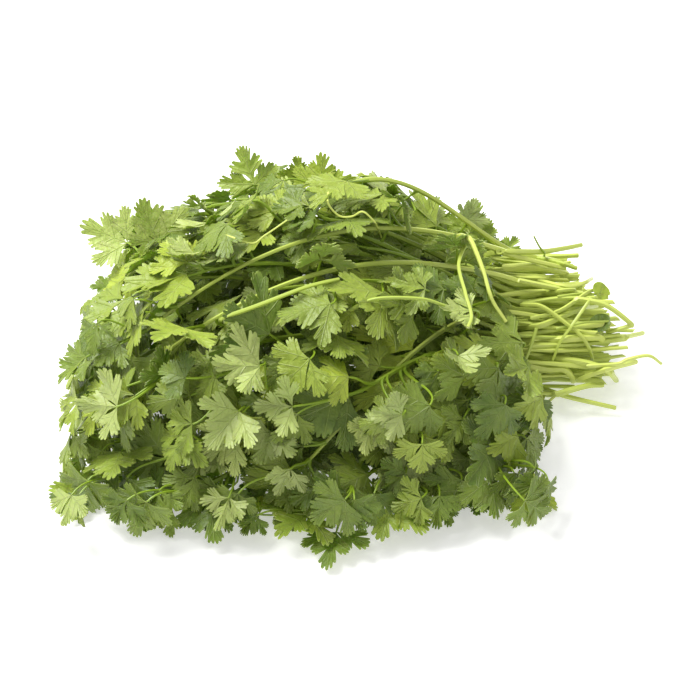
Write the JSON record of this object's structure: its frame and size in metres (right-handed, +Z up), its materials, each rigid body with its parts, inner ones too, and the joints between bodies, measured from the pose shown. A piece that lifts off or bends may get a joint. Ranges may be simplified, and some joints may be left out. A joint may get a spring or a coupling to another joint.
{
  "type": "coriander bunch",
  "caption": "Bunch of fresh coriander lying on its side: bare cut stems at one end, fanned out into a low heap of lobed leaves.",
  "frame": {"origin": "middle of the bunch's bounding box, on the surface that it lies on", "axes": "+X along the stems towards their cut ends, +Z up, +Y across the bunch so that the axes are right-handed"},
  "size_m": [0.2959, 0.2573, 0.117],
  "materials": {
    "leafy_stem": "satin"
  },
  "bodies": {
    "root": {"leafy_stem_01": "leafy_stem", "leafy_stem_02": "leafy_stem", "leafy_stem_03": "leafy_stem", "leafy_stem_04": "leafy_stem", "leafy_stem_05": "leafy_stem", "leafy_stem_06": "leafy_stem", "leafy_stem_07": "leafy_stem", "leafy_stem_08": "leafy_stem", "leafy_stem_09": "leafy_stem", "leafy_stem_10": "leafy_stem", "leafy_stem_11": "leafy_stem", "leafy_stem_12": "leafy_stem", "leafy_stem_13": "leafy_stem", "leafy_stem_14": "leafy_stem", "leafy_stem_15": "leafy_stem", "leafy_stem_16": "leafy_stem", "leafy_stem_17": "leafy_stem", "leafy_stem_18": "leafy_stem", "leafy_stem_19": "leafy_stem", "leafy_stem_20": "leafy_stem", "leafy_stem_21": "leafy_stem", "leafy_stem_22": "leafy_stem", "leafy_stem_23": "leafy_stem", "leafy_stem_24": "leafy_stem", "leafy_stem_25": "leafy_stem", "leafy_stem_27": "leafy_stem", "leafy_stem_28": "leafy_stem", "leafy_stem_29": "leafy_stem", "leafy_stem_30": "leafy_stem", "leafy_stem_31": "leafy_stem", "leafy_stem_32": "leafy_stem", "leafy_stem_33": "leafy_stem", "leafy_stem_34": "leafy_stem", "leafy_stem_35": "leafy_stem", "leafy_stem_36": "leafy_stem", "leafy_stem_37": "leafy_stem", "leafy_stem_38": "leafy_stem", "leafy_stem_39": "leafy_stem", "leafy_stem_40": "leafy_stem", "leafy_stem_41": "leafy_stem", "leafy_stem_42": "leafy_stem", "leafy_stem_43": "leafy_stem", "leafy_stem_44": "leafy_stem", "leafy_stem_45": "leafy_stem", "leafy_stem_46": "leafy_stem", "leafy_stem_47": "leafy_stem", "leafy_stem_48": "leafy_stem", "leafy_stem_49": "leafy_stem", "leafy_stem_50": "leafy_stem", "leafy_stem_51": "leafy_stem", "leafy_stem_52": "leafy_stem"}
  },
  "joints": []
}
